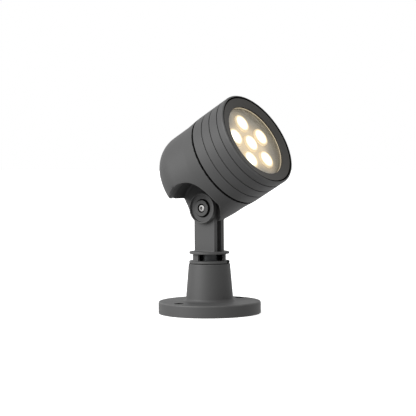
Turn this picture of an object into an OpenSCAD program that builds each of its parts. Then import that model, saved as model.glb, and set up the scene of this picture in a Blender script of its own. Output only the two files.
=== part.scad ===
// Outdoor LED garden projector on a round screw-down base.
// A forked arm swivels on a tapered pedestal and the lamp head tilts on a screw through the fork.
//
// Frame: millimetres, +Z up. The origin is the centre of the base's underside, the swivel axis is Z,
// the tilt axis runs along Y above the origin, and the lamp looks towards +X.
// Head parts are drawn in the head's own frame: its origin is on the tilt axis, X runs forwards
// along the lamp, Y is the tilt axis and Z is square to both.

/* [Base] */
// Radius of the round base
base_r = 50; // [46:1:70]
// Thickness of the round base
base_h = 12; // [10:0.5:18]
// Rounding of the base's upper edge
base_edge_r = 1.6; // [0.5:0.1:3]
// Distance of each screw hole from the centre
hole_circle_r = 40; // [38:0.5:42]
// Direction of the line through the two screw holes, from +X
hole_turn = 79; // [0:1:180]
// Radius of a screw hole
hole_r = 2.6; // [2:0.1:3.2]
// Radius of the sunk seat of a base screw
hole_sink_r = 4.6; // [4:0.1:6]
// Depth of the sunk seat of a base screw
hole_sink_depth = 4.5; // [2:0.1:6]
// Thickness of the sealing ring under the base
pad_h = 1.8; // [1:0.1:3]
// Inner radius of the sealing ring
pad_inner_r = 25; // [24:0.5:28]
// Width of the sealing ring
pad_w = 8; // [4:0.5:9]

/* [Pedestal] */
// Radius of the pedestal where it meets the base
post_foot_r = 23.3; // [22.5:0.1:24]
// Radius of the pedestal at its top
post_top_r = 20.2; // [19.8:0.1:21.5]
// Height of the pedestal above the base
post_h = 36.4; // [28:0.1:60]
// Rounding where the pedestal meets the base
post_fillet_r = 3; // [1:0.5:5]
// Wall of the hollow pedestal
post_wall = 3.6; // [2.5:0.1:4.5]
// Thickness of the pedestal's top web
post_web = 8; // [5:0.5:12]

/* [Swivel] */
// Radius of the hollow swivel stem
stem_r = 9; // [7:0.1:11]
// Radius of the wire way through the stem
stem_bore_r = 5; // [3.5:0.1:5.5]
// Thickness of the swivel bearing ring
bearing_h = 1.1; // [0.8:0.1:2]
// Radius of the collar's lower flange
collar_low_r = 19.7; // [19:0.1:20]
// Radius of the collar's upper flange
collar_top_r = 19.5; // [19:0.1:20]
// Thickness of a collar flange
collar_flange_h = 2.3; // [1.5:0.1:4]
// Radius of the collar's drum
drum_r = 16.2; // [14.5:0.1:17]
// Wall of the collar's drum
drum_wall = 2.4; // [1.5:0.1:3]
// Height of the collar's drum between its flanges
drum_h = 6.7; // [4:0.1:12]
// Angle that the drum window spans
window_span = 109; // [60:1:120]
// Direction of the drum window's middle, from +X
window_turn = -42; // [-90:1:90]
// Thickness of the stem nut
stem_nut_h = 6; // [4:0.5:8]
// Width across flats of the stem nut
stem_nut_flats = 25; // [23:0.5:26]

/* [Fork] */
// Width of the fork's side plates
arm_w = 24; // [18:0.5:26]
// Thickness of one fork plate
plate_t = 4.8; // [3.5:0.1:5.5]
// Gap between the fork plates
fork_gap = 6.4; // [5.4:0.1:8]
// Height of the tilt axis above the collar
arm_h = 42.3; // [36:0.1:70]

/* [Pivot] */
// Radius of a pivot cap
cap_r = 14.8; // [12.5:0.1:15.5]
// Height of a pivot cap
cap_h = 4.8; // [4:0.1:6]
// Wall of a pivot cap's outer rim
cap_rim = 1.4; // [1:0.1:2.5]
// Radius of a pivot cap's hub
cap_hub_r = 7.8; // [6:0.1:9]
// Depth of the ring groove in a pivot cap
cap_groove_depth = 2.3; // [1:0.1:3]
// Radius of the pivot screw's shank
screw_r = 2; // [1.5:0.1:2.5]
// Radius of the pivot screw's head
screw_head_r = 3.5; // [3.2:0.1:4.5]
// Height of the pivot screw's head
screw_head_h = 2.6; // [2:0.1:3]
// Width across flats of the pivot nut
nut_flats = 7; // [6:0.1:8]
// Thickness of a friction washer
friction_h = 0.5; // [0.3:0.1:0.8]

/* [Head] */
// Upward tilt of the lamp at rest
head_tilt = 29.1; // [0:0.1:60]
// Distance of the lamp's centre line from the tilt axis
axis_rise = 29.9; // [29:0.1:33]
// Distance of the lamp's front lip ahead of the tilt axis
front_ahead = 83.1; // [78:0.1:95]
// Distance of the flat back behind the tilt axis
back_behind = 20.5; // [19:0.1:24]
// Radius of the front barrel
barrel_r = 48; // [47:0.1:58]
// Length of the front barrel
barrel_len = 39.2; // [38:0.1:44]
// Gap of the seam between barrel and rear housing
seam_h = 1.2; // [0.8:0.1:2]
// Depth of the seal below the surface at the seam
seam_depth = 1.8; // [0.8:0.1:2.2]
// Rounding of the front lip
lip_round = 1.7; // [0.8:0.1:1.7]
// Distance of the first groove behind the front lip
groove_first = 7.5; // [5:0.1:9]
// Pitch of the grooves
groove_pitch = 10.15; // [8:0.05:11]
// Width of a groove
groove_w = 1.1; // [0.6:0.1:2]
// Depth of a groove
groove_depth = 0.9; // [0.4:0.1:1.2]
// Radius of the rear housing behind its taper
rear_r = 46.9; // [46:0.1:48]
// Length of the taper behind the seam
rear_taper = 14; // [6:0.5:20]
// Rounding of the rear housing's back edge
rear_round = 28; // [22:0.5:30]
// Wall of the rear housing
rear_wall = 3.6; // [2.5:0.1:4]

/* [Pocket and tongue] */
// Radius of the pocket round the tilt axis
pocket_r = 29.4; // [28:0.1:31]
// Radius of the pocket's mouth at the side of the housing
pocket_mouth_r = 22.9; // [22:0.1:28]
// Distance of the pocket's mouth ahead of the tilt axis
pocket_mouth_lead = 6.5; // [0:0.1:8]
// Radius of the pocket's front scoop on the fork's middle plane
scoop_r = 16.2; // [15.5:0.1:18]
// Growth of the scoop's radius per millimetre sideways
scoop_flare = 0.537; // [0.4:0.005:0.6]
// Radius of the tongue's round end
tongue_r = 13.7; // [12:0.1:14.5]
// Half width of the tongue's root where it meets the pocket
tongue_root_half = 6.6; // [3:0.1:7]
// Height of the flare at the tongue's root
tongue_root_h = 3; // [1:0.1:3]
// Radius of the tongue's bearing bush
bush_r = 4; // [3.5:0.1:5]

/* [Front glass and bezel] */
// Wall of the barrel round the bezel
bezel_seat_wall = 1.8; // [1.8:0.1:2.4]
// Radius of the bezel's window
window_r = 36.4; // [30:0.1:38]
// Depth of the bezel's outer edge behind the lip
bezel_edge_depth = 0.9; // [0.4:0.1:2]
// Depth of the bezel's window edge behind the lip
bezel_window_depth = 2.3; // [1.5:0.1:3.5]
// Depth of the bezel's back face behind the lip
bezel_back_depth = 4.8; // [4.2:0.1:6]
// Thickness of the front glass
glass_h = 4; // [3:0.1:5]
// Radius of the front glass
glass_r = 42; // [40:0.1:42.5]
// Thickness of the gasket behind the glass
glass_gasket_h = 0.8; // [0.5:0.1:1]
// Inner radius of the shoulder that carries the glass
shoulder_r = 39.5; // [38.5:0.1:40]
// Thickness of the shoulder that carries the glass
shoulder_h = 2; // [1.5:0.1:2.5]

/* [Light engine] */
// Number of lenses round the centre lens
ring_lenses = 5; // [3:1:5]
// Distance of the outer lenses from the centre
lens_circle_r = 21.8; // [20:0.1:23]
// Radius of a lens
lens_r = 9.2; // [8:0.1:9.6]
// Thickness of a lens's rim
lens_rim_h = 1.8; // [1:0.1:2.2]
// Length of a lens behind its rim
lens_len = 10.8; // [8:0.1:12]
// Radius of a lens's small end
lens_tail_r = 4.6; // [4:0.1:5.5]
// Thickness of the lens holder plate
holder_h = 2; // [1.5:0.1:3]
// Width of a light chip
chip_w = 3.5; // [2.5:0.1:4]
// Height of a light chip
chip_h = 1.1; // [0.6:0.1:1.5]
// Radius of the circuit board
board_r = 40; // [37:0.1:42]
// Thickness of the circuit board
board_h = 1.6; // [1:0.1:2]
// Thickness of the heat spreader
spreader_h = 4; // [2:0.1:5]
// Number of board screws
board_screws = 3; // [3:1:3]
// Distance of the board screws from the centre
board_screw_circle_r = 35; // [33.5:0.1:36]
// Length of the driver case
driver_len = 26; // [20:0.5:28]
// Width of the driver case
driver_w = 34; // [20:0.5:38]
// Height of the driver case
driver_h = 22; // [16:0.5:24]

/* [Wire gland] */
// Direction of the gland from the tilt axis, in the head's frame
gland_turn = 104; // [98:1:110]
// Distance of the gland sideways from the fork's middle plane
gland_side = 21; // [20.5:0.5:24]
// Radius of the gland's thread
gland_thread_r = 5; // [4.5:0.1:5.5]
// Radius of the gland's wire way
gland_bore_r = 3.2; // [2.5:0.1:3.4]
// Width across flats of the gland's body
gland_flats = 13; // [12:0.5:14]

/* [Clearances] */
// Radial clearance of a running fit
run_gap = 0.05; // [0.03:0.01:0.1]
// Clearance between flat faces that slide on each other
slide_gap = 0.1; // [0.05:0.01:0.2]
// Radial clearance of a screw or a seated part
seat_gap = 0.15; // [0.1:0.05:0.3]

/* [Hidden] */
$fn = 96;
eps = 0.01;
far = 120;

// Heights along the swivel axis
post_top_z = base_h + post_h;
web_z = post_top_z - post_web;
bearing_z = post_top_z - bearing_h / 2;
collar_z = bearing_z + bearing_h + slide_gap;
drum_z = collar_z + collar_flange_h;
drum_top_z = drum_z + drum_h;
collar_top_z = drum_top_z + collar_flange_h;
pivot_z = collar_top_z + arm_h;
bearing_rim = 2;
bearing_outer_r = post_top_r - bearing_rim;
stem_washer_h = 1.5;
stem_washer_rim = 3.5;
stem_nut_thread = 2;
stem_nut_z = web_z - slide_gap - stem_washer_h - stem_nut_h;
stem_end_z = stem_nut_z - stem_nut_thread;
brake_turn = 24;
brake_w = 10.5;
brake_depth = 2.6;
plate_foot = 0.2;
plate_sink = 0.5;
window_lip = 0.2;
wire_way_r = fork_gap / 2 - plate_foot;

// Half widths along the tilt axis
gap_half = fork_gap / 2;
fork_half = gap_half + plate_t;
cap_face = fork_half + cap_h;
tongue_half = gap_half - friction_h - slide_gap;
tongue_t = 2 * tongue_half;
pocket_neck_y = 17;
pocket_mouth_y = 43;
tongue_heel = 6;
tongue_heel_turn = 28;
recess = 0.4;
screw_seat_depth = screw_head_h + recess;
socket_flats = 3;
socket_depth = 1.6;
nut_h = 3.2;
nut_seat_depth = nut_h + recess;
friction_edge = 1;
friction_r = arm_w / 2 - friction_edge;

// Stations along the lamp: positive is forwards of the tilt axis
seam_front = front_ahead - barrel_len;
seam_back = seam_front - seam_h;
bezel_back = front_ahead - bezel_back_depth;
glass_back = bezel_back - glass_h;
shoulder_front = glass_back - glass_gasket_h;
shoulder_back = shoulder_front - shoulder_h;
holder_back = shoulder_back - slide_gap - holder_h;
lens_rim_front = holder_back + holder_h + lens_rim_h;
lens_tail = lens_rim_front - lens_rim_h - lens_len;
chip_clear = 0.2;
chip_back = lens_tail - chip_clear;
board_back = chip_back - board_h;
spreader_back = board_back - spreader_h;
spigot_len = 6.5;
cavity_floor = pocket_r + rear_wall;
driver_lead_in = 1;
driver_gap = 1.4;
driver_front = cavity_floor - driver_lead_in;
driver_low = cavity_floor + driver_gap;

// Radii inside the barrel
bezel_seat_r = barrel_r - bezel_seat_wall;
bezel_r = bezel_seat_r - seat_gap;
glass_seat_r = glass_r + seat_gap;
barrel_wall = 3.5;
barrel_bore_r = barrel_r - barrel_wall;
spigot_r = barrel_bore_r - seat_gap;
spigot_wall = 3;
spigot_root = 3;
spreader_r = barrel_bore_r - seat_gap;
holder_r = barrel_bore_r - seat_gap;
gland_pad_h = 2;
gland_pad_rim = 2;
gland_seat = pocket_r - gland_pad_h;
gland_hex_h = 4.5;
gland_cap_h = 6;
gland_cap_edge = 0.3;
gland_cap_r = gland_flats / 2 - gland_cap_edge;
gland_seal_wall = 1.2;
gland_lock_h = 3;
gland_lock_gap = 0.9;
gland_thread_end = 1;
gland_thread_len = rear_wall + gland_pad_h + gland_lock_h + gland_thread_end;

// Lens details
lens_skirt = 1;
lens_tail_wall = 1.4;
lens_tail_depth = 3.5;
lens_hole_edge = 0.8;

// Board screws and leads
board_screw_r = 1.5;
board_screw_gap = 0.2;
board_screw_head_r = 2.8;
board_screw_head_h = 1.8;
board_screw_end = 0.5;
lead_r = 1;
lead_gap = 0.4;
lead_side = 4;
lead_rise = 11.5;

// ---- Shared shapes ----

// A ring about Z
module ring(outer, inner, h) {
    difference() {
        cylinder(r = outer, h = h);
        translate([0, 0, -1]) cylinder(r = inner, h = h + 2);
    }
}

// A hexagonal prism about Z, sized across its flats
module hexagon(flats, h) {
    cylinder(r = flats / sqrt(3), h = h, $fn = 6);
}

// Turns what is drawn along +Z so that it points along +Y from the given station
module along_y(station) {
    translate([0, station, 0]) rotate([-90, 0, 0]) children();
}

// Turns what is drawn along +Z so that it points along -Y from the given station
module against_y(station) {
    translate([0, station, 0]) rotate([90, 0, 0]) children();
}

// Places what is drawn at the tilt axis
module at_pivot() {
    translate([0, 0, pivot_z]) children();
}

// Places what is drawn in the head's frame
module in_head() {
    at_pivot() rotate([0, -head_tilt, 0]) children();
}

// Places what is drawn along +Z on the lamp's centre line, running forwards from a station
module on_lamp_axis(station) {
    translate([station, 0, axis_rise]) rotate([0, 90, 0]) children();
}

// Places what is drawn along +Z over lens number i, running forwards from a station
module at_lens(i, station) {
    turn = 360 / ring_lenses * i;
    reach = i == 0 ? 0 : lens_circle_r;
    on_lamp_axis(station) rotate([0, 0, 180 + turn]) translate([reach, 0, 0]) children();
}

// Places what is drawn along +Z over board screw number i
module at_board_screw(i, station) {
    turn = 36 + 144 * i;
    on_lamp_axis(station) rotate([0, 0, 180 + turn]) translate([board_screw_circle_r, 0, 0]) children();
}

// Places what is drawn along +Z on the gland's line, pointing from the tilt axis outwards
module on_gland_line(reach) {
    translate([0, gland_side, 0]) rotate([0, 90 - gland_turn, 0]) translate([0, 0, reach]) children();
}

// ---- Base ----

module base_profile() {
    square([base_r, base_h - base_edge_r]);
    square([base_r - base_edge_r, base_h]);
    translate([base_r - base_edge_r, base_h - base_edge_r]) circle(r = base_edge_r);
    polygon([[0, 0], [post_foot_r, base_h], [post_top_r, post_top_z], [0, post_top_z]]);
    difference() {
        translate([0, base_h - eps]) square([post_foot_r + post_fillet_r, post_fillet_r + eps]);
        translate([post_foot_r + post_fillet_r, base_h + post_fillet_r]) circle(r = post_fillet_r);
    }
}

module base_casting() {
    color("#4b4b4d") difference() {
        rotate_extrude() base_profile();
        // hollow of the pedestal
        translate([0, 0, -1]) cylinder(r1 = post_foot_r - post_wall, r2 = post_top_r - post_wall, h = web_z + 1);
        // swivel bore
        cylinder(r = stem_r + run_gap, h = post_top_z + 1);
        // seat of the bearing ring
        translate([0, 0, bearing_z]) cylinder(r = bearing_outer_r + seat_gap, h = bearing_h);
        // groove of the sealing ring
        translate([0, 0, -1]) ring(pad_inner_r + pad_w, pad_inner_r, pad_h + 1);
        for (turn = [0, 180]) rotate([0, 0, hole_turn + turn]) translate([hole_circle_r, 0, 0]) {
            translate([0, 0, -1]) cylinder(r = hole_r, h = base_h + 2);
            translate([0, 0, base_h - hole_sink_depth]) cylinder(r = hole_sink_r, h = hole_sink_depth + 1);
        }
    }
}

module base_seal() {
    color("#1b1b1b") ring(pad_inner_r + pad_w - seat_gap, pad_inner_r + seat_gap, pad_h);
}

module bearing_ring() {
    color("#202020") translate([0, 0, bearing_z]) ring(bearing_outer_r, stem_r + seat_gap, bearing_h);
}

// ---- Fork and its swivel ----

// Half section of the collar: two flanges joined by a thin drum
module collar_profile() {
    difference() {
        union() {
            square([collar_low_r, collar_flange_h]);
            square([drum_r, collar_top_z - collar_z]);
            translate([0, drum_top_z - collar_z]) square([collar_top_r, collar_flange_h]);
        }
        translate([-1, -1]) square([stem_r + 1, drum_z - collar_z + 2]);
        translate([-1, drum_z - collar_z]) square([drum_r - drum_wall + 1, drum_h]);
        translate([-1, drum_h]) square([wire_way_r + 1, far]);
    }
}

module drum_window() {
    rotate([0, 0, window_turn - window_span / 2]) translate([0, 0, drum_z + window_lip])
        rotate_extrude(angle = window_span)
            translate([drum_r - drum_wall - 1, 0]) square([drum_wall + 2, drum_h - 2 * window_lip]);
}

module brake_seat(grow) {
    rotate([0, 0, brake_turn]) translate([collar_low_r - brake_depth, -brake_w / 2 - grow, collar_z - 1])
        cube([brake_depth + 5, brake_w + 2 * grow, collar_flange_h + 2]);
}

// A side plate of the fork, sunk into the collar and rounded about the tilt axis
module fork_plate(outer_face) {
    at_pivot() against_y(outer_face) linear_extrude(plate_t) {
        translate([-arm_w / 2, -arm_h - plate_sink]) square([arm_w, arm_h + plate_sink]);
        circle(r = arm_w / 2);
    }
}

module fork_casting() {
    color("#4b4b4d") difference() {
        union() {
            translate([0, 0, collar_z]) rotate_extrude() collar_profile();
            fork_plate(fork_half);
            fork_plate(-gap_half);
        }
        drum_window();
        brake_seat(0);
        at_pivot() along_y(-far / 2) cylinder(r = screw_r + seat_gap, h = far);
    }
}

module swivel_stem() {
    color("#303132") translate([0, 0, stem_end_z]) ring(stem_r, stem_bore_r, drum_top_z - stem_end_z);
}

module stem_washer() {
    color("#a8a8a8") translate([0, 0, stem_nut_z + stem_nut_h])
        ring(stem_r + stem_washer_rim, stem_r + seat_gap, stem_washer_h);
}

module stem_nut() {
    color("#9a9a9a") translate([0, 0, stem_nut_z]) difference() {
        hexagon(stem_nut_flats, stem_nut_h);
        translate([0, 0, -1]) cylinder(r = stem_r, h = stem_nut_h + 2);
    }
}

module brake_pad() {
    color("#141414") intersection() {
        translate([0, 0, collar_z]) cylinder(r = collar_low_r, h = collar_flange_h);
        brake_seat(-slide_gap);
        translate([0, 0, collar_z - 1]) ring(collar_low_r + 1, collar_low_r - brake_depth + slide_gap, far);
    }
}

// ---- Tilt pivot ----

module pivot_cap_blank() {
    difference() {
        cylinder(r = cap_r, h = cap_h);
        translate([0, 0, cap_h - cap_groove_depth]) ring(cap_r - cap_rim, cap_hub_r, cap_groove_depth + 1);
        translate([0, 0, -1]) cylinder(r = screw_r + seat_gap, h = cap_h + 2);
    }
}

module pivot_cap_near() {
    color("#505052") at_pivot() against_y(-fork_half) difference() {
        pivot_cap_blank();
        translate([0, 0, cap_h - screw_seat_depth]) cylinder(r = screw_head_r + 2 * seat_gap, h = screw_seat_depth + 1);
    }
}

module pivot_cap_far() {
    color("#505052") at_pivot() along_y(fork_half) difference() {
        pivot_cap_blank();
        translate([0, 0, cap_h - nut_seat_depth]) hexagon(nut_flats + 2 * seat_gap, nut_seat_depth + 1);
    }
}

module pivot_screw() {
    color("#c9c9c6") at_pivot() against_y(0) difference() {
        union() {
            translate([0, 0, -cap_face + recess])
                cylinder(r = screw_r, h = 2 * cap_face - recess - screw_seat_depth + eps);
            translate([0, 0, cap_face - screw_seat_depth]) cylinder(r = screw_head_r, h = screw_head_h);
        }
        translate([0, 0, cap_face - recess - socket_depth]) hexagon(socket_flats, socket_depth + 1);
    }
}

module pivot_nut() {
    color("#b5b5b2") at_pivot() along_y(cap_face - nut_seat_depth) difference() {
        hexagon(nut_flats, nut_h);
        translate([0, 0, -1]) cylinder(r = screw_r, h = nut_h + 2);
    }
}

module friction_washer() {
    ring(friction_r, screw_r + seat_gap, friction_h);
}

module friction_washer_near() {
    color("#6f6f6c") at_pivot() along_y(-gap_half) friction_washer();
}

module friction_washer_far() {
    color("#6f6f6c") at_pivot() against_y(gap_half) friction_washer();
}

module pivot_bush() {
    color("#b08d57") at_pivot() along_y(-tongue_half) ring(bush_r, screw_r + run_gap, tongue_t);
}

// ---- Head shells ----

// Half section of the rear housing: x is the radius, y runs forwards from the back, grown inwards by wall
module rear_profile(wall) {
    length = seam_back + back_behind;
    edge = rear_round - wall;
    straight = length - rear_taper;
    translate([0, wall]) square([rear_r - wall - edge, straight - wall]);
    translate([0, wall + edge]) square([rear_r - wall, straight - wall - edge]);
    intersection() {
        translate([rear_r - wall - edge, wall + edge]) circle(r = edge);
        square([far, far]);
    }
    polygon([[0, straight - eps], [rear_r - wall, straight - eps], [barrel_r - wall, length], [0, length]]);
}

// The part of the pocket that is a plain cylinder: all round but for the front scoop's sector
module pocket_sector() {
    against_y(far / 2) linear_extrude(far) polygon([
        [0, 0], [far * cos(10), far * sin(10)], [far, far],
        [-far, far], [-far, -far], [far * cos(72), -far * sin(72)]
    ]);
}

// A cone about Y, open towards one side
module scoop() {
    reach = (pocket_r + 2 - scoop_r) / scoop_flare;
    cylinder(r1 = scoop_r, r2 = scoop_r + scoop_flare * reach, h = reach);
    translate([0, 0, reach - eps]) cylinder(r = pocket_r + 2, h = far);
}

// The pocket's narrowing towards its mouth at one side: a cone that leans forwards
module pocket_side() {
    inside = 12;
    run = pocket_mouth_y - pocket_neck_y;
    slope = (pocket_r - pocket_mouth_r) / run;
    lead = pocket_mouth_lead / run;
    start = pocket_neck_y + inside;
    length = inside + far / 2;
    translate([-lead * start, 0, -inside]) rotate([0, atan(lead), 0])
        cylinder(r1 = pocket_r + slope * start, r2 = pocket_r + slope * (start - length), h = length / cos(atan(lead)));
}

module pocket() {
    intersection() {
        along_y(-far / 2) cylinder(r = pocket_r, h = far);
        union() {
            pocket_sector();
            along_y(0) scoop();
            against_y(0) scoop();
        }
        union() {
            along_y(0) pocket_side();
            against_y(0) pocket_side();
        }
    }
}

// Side view of the tongue: flush with the flat back above, rounded about the tilt axis below,
// and running forwards into the tip of the scoops
module tongue_outline() {
    tip_z = axis_rise - rear_r + 0.1;
    tip_x = sqrt(pow(scoop_r + scoop_flare * tongue_half, 2) - tip_z * tip_z);
    circle(r = tongue_r);
    polygon([
        [-back_behind, pocket_r], [-back_behind, tongue_heel],
        [-tongue_r * cos(tongue_heel_turn), -tongue_r * sin(tongue_heel_turn)],
        [-tongue_r * sin(head_tilt), -tongue_r * cos(head_tilt)],
        [tip_x, tip_z], [pocket_r + 1, tip_z], [pocket_r + 1, pocket_r]
    ]);
}

module tongue() {
    against_y(tongue_half) linear_extrude(tongue_t) tongue_outline();
}

// Root of the tongue, flared out to the pocket's ceiling
module tongue_root() {
    low_r = pocket_r - tongue_root_h;
    high_r = pocket_r + 1;
    intersection() {
        on_lamp_axis(-back_behind) rotate_extrude() rear_profile(0);
        along_y(0) rotate_extrude() polygon([
            [low_r, -tongue_half], [high_r, -tongue_root_half],
            [high_r, tongue_root_half], [low_r, tongue_half]
        ]);
    }
}

module rear_housing() {
    color("#4b4b4d") in_head() difference() {
        union() {
            difference() {
                on_lamp_axis(-back_behind) rotate_extrude() rear_profile(0);
                pocket();
            }
            tongue();
            tongue_root();
            on_lamp_axis(seam_back - 1) cylinder(r = spigot_r, h = spigot_len + 1);
            gland_pad();
        }
        rear_cavity();
        along_y(-far / 2) cylinder(r = bush_r, h = far);
        on_gland_line(gland_seat / 2) cylinder(r = gland_flats / 2 + gland_pad_rim, h = gland_seat / 2);
        on_gland_line(gland_seat - 1) cylinder(r = gland_thread_r + seat_gap, h = 12);
    }
}

// Flat seat for the gland on the pocket's ceiling
module gland_pad() {
    on_gland_line(gland_seat) cylinder(r = gland_flats / 2 + gland_pad_rim, h = gland_pad_h + rear_wall / 2);
}

// Hollow of the rear housing, kept a wall away from the pocket
module rear_cavity() {
    difference() {
        on_lamp_axis(-back_behind) rotate_extrude() rear_profile(rear_wall);
        along_y(-far / 2) cylinder(r = cavity_floor, h = far);
        on_lamp_axis(seam_back - spigot_root) cylinder(r = far, h = far);
    }
    on_lamp_axis(seam_back - spigot_root - eps) cylinder(r = spigot_r - spigot_wall, h = far);
}

module lip_profile() {
    difference() {
        square([barrel_r, barrel_len]);
        translate([barrel_r - lip_round, barrel_len - lip_round]) difference() {
            square([lip_round + 1, lip_round + 1]);
            circle(r = lip_round);
        }
        for (i = [0 : 2])
            translate([barrel_r - groove_depth, barrel_len - groove_first - groove_pitch * i - groove_w / 2])
                square([groove_depth + 1, groove_w]);
    }
}

module front_barrel() {
    color("#4b4b4d") in_head() difference() {
        on_lamp_axis(seam_front) rotate_extrude() lip_profile();
        on_lamp_axis(bezel_back) cylinder(r = bezel_seat_r, h = far);
        on_lamp_axis(shoulder_front) cylinder(r = glass_seat_r, h = far);
        on_lamp_axis(seam_front - 1) cylinder(r = barrel_bore_r, h = shoulder_back - seam_front + 1);
        on_lamp_axis(seam_front) cylinder(r = shoulder_r, h = barrel_len);
    }
}

module seam_gasket() {
    color("#101010") in_head() on_lamp_axis(seam_back) ring(barrel_r - seam_depth, spigot_r, seam_h);
}

module bezel_ring() {
    color("#2e2e2f") in_head() on_lamp_axis(bezel_back) rotate_extrude() polygon([
        [window_r, 0], [bezel_r, 0],
        [bezel_r, bezel_back_depth - bezel_edge_depth],
        [window_r, bezel_back_depth - bezel_window_depth]
    ]);
}

// ---- Glass and light engine ----

module front_glass() {
    color("#dfe8ea", 0.3) in_head() on_lamp_axis(glass_back) cylinder(r = glass_r, h = glass_h);
}

module glass_gasket() {
    color("#161616") in_head() on_lamp_axis(shoulder_front) ring(glass_r, shoulder_r, glass_gasket_h);
}

module lens_holder() {
    hole = lens_r - lens_hole_edge;
    color("#b9b2a6") in_head() difference() {
        on_lamp_axis(holder_back) cylinder(r = holder_r, h = holder_h);
        for (i = [0 : ring_lenses]) at_lens(i, holder_back - 1) cylinder(r = hole, h = holder_h + 2);
    }
}

module led_lens(i) {
    color("#f4ecd8", 0.6) in_head() at_lens(i, lens_tail) difference() {
        union() {
            cylinder(r1 = lens_tail_r, r2 = lens_r - lens_skirt, h = lens_len);
            translate([0, 0, lens_len - eps]) cylinder(r = lens_r, h = lens_rim_h + eps);
        }
        translate([0, 0, -1]) cylinder(r = lens_tail_r - lens_tail_wall, h = lens_tail_depth + 1);
    }
}

module led_chip(i) {
    color("#ffe2a0") in_head() at_lens(i, chip_back) translate([-chip_w / 2, -chip_w / 2, 0])
        cube([chip_w, chip_w, chip_h]);
}

module circuit_board() {
    color("#e8e8e4") in_head() difference() {
        on_lamp_axis(board_back) cylinder(r = board_r, h = board_h);
        for (i = [0 : board_screws - 1]) at_board_screw(i, board_back - 1)
            cylinder(r = board_screw_r + board_screw_gap, h = board_h + 2);
    }
}

module board_screw(i) {
    color("#c0c0bd") in_head() at_board_screw(i, spreader_back + board_screw_end) {
        grip = spreader_h - board_screw_end + board_h;
        cylinder(r = board_screw_r, h = grip + eps);
        translate([0, 0, grip]) cylinder(r = board_screw_head_r, h = board_screw_head_h);
    }
}

module heat_spreader() {
    color("#a9abad") in_head() difference() {
        on_lamp_axis(spreader_back) cylinder(r = spreader_r, h = spreader_h);
        for (i = [0 : board_screws - 1]) at_board_screw(i, spreader_back - 1) cylinder(r = board_screw_r, h = spreader_h + 2);
        for (side = [-1, 1]) at_lead(side) cylinder(r = lead_r + lead_gap, h = far);
    }
}

// Places what is drawn along +Z on a lead's line
module at_lead(side) {
    translate([driver_front, side * lead_side, axis_rise + lead_rise]) rotate([0, 90, 0]) children();
}

module lead(side) {
    in_head() at_lead(side) cylinder(r = lead_r, h = board_back - driver_front);
}

module lead_live() {
    color("#7a2a22") lead(-1);
}

module lead_neutral() {
    color("#1f1f24") lead(1);
}

module driver_case() {
    color("#26272a") in_head() translate([driver_front - driver_len, -driver_w / 2, driver_low])
        cube([driver_len, driver_w, driver_h]);
}

// ---- Wire gland ----

module gland_body() {
    color("#1d1d1f") in_head() difference() {
        union() {
            on_gland_line(gland_seat - gland_hex_h) hexagon(gland_flats, gland_hex_h);
            on_gland_line(gland_seat - eps) cylinder(r = gland_thread_r, h = gland_thread_len);
        }
        on_gland_line(0) cylinder(r = gland_bore_r, h = far);
    }
}

module gland_cap() {
    color("#1d1d1f") in_head() on_gland_line(gland_seat - gland_hex_h - gland_cap_h)
        ring(gland_cap_r, gland_bore_r + gland_seal_wall, gland_cap_h);
}

module gland_seal() {
    color("#0c0c0c") in_head() on_gland_line(gland_seat - gland_hex_h - gland_cap_h)
        ring(gland_bore_r + gland_seal_wall, gland_bore_r, gland_cap_h);
}

module gland_locknut() {
    color("#a0a09d") in_head() on_gland_line(cavity_floor + gland_lock_gap) difference() {
        hexagon(gland_flats, gland_lock_h);
        translate([0, 0, -1]) cylinder(r = gland_thread_r, h = gland_lock_h + 2);
    }
}

// ---- Nodes ----

base_casting();
base_seal();
bearing_ring();
fork_casting();
swivel_stem();
stem_washer();
stem_nut();
brake_pad();
pivot_cap_near();
pivot_cap_far();
pivot_screw();
pivot_nut();
friction_washer_near();
friction_washer_far();
rear_housing();
pivot_bush();
front_barrel();
seam_gasket();
bezel_ring();
front_glass();
glass_gasket();
lens_holder();
led_lens(0);  // led_lens_1
led_lens(1);  // led_lens_2
led_lens(2);  // led_lens_3
led_lens(3);  // led_lens_4
led_lens(4);  // led_lens_5
led_lens(5);  // led_lens_6
led_chip(0);  // led_chip_1
led_chip(1);  // led_chip_2
led_chip(2);  // led_chip_3
led_chip(3);  // led_chip_4
led_chip(4);  // led_chip_5
led_chip(5);  // led_chip_6
circuit_board();
board_screw(0);  // board_screw_1
board_screw(1);  // board_screw_2
board_screw(2);  // board_screw_3
heat_spreader();
driver_case();
lead_live();
lead_neutral();
gland_body();
gland_cap();
gland_seal();
gland_locknut();
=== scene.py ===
"""Looks of an outdoor LED garden spotlight: cast base, swivelling fork and tilting lamp head."""

import logging
import math
from dataclasses import dataclass, field
from enum import Enum
from typing import Callable, Sequence

import bmesh
import bpy
from mathutils import Matrix, Vector


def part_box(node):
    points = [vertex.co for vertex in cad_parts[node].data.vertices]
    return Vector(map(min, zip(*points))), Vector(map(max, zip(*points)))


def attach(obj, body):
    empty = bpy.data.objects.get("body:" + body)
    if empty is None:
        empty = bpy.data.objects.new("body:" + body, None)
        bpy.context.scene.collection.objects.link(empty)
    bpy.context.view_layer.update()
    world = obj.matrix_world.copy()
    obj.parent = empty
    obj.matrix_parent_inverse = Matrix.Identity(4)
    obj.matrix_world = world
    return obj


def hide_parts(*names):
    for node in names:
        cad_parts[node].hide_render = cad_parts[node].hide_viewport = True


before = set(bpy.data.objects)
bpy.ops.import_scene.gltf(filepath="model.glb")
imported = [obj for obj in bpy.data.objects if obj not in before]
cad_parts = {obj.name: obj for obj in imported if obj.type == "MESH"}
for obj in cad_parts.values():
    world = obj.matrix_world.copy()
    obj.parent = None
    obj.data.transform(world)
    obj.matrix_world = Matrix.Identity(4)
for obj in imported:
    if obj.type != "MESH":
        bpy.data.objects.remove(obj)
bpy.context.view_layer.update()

MM = 0.001
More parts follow.
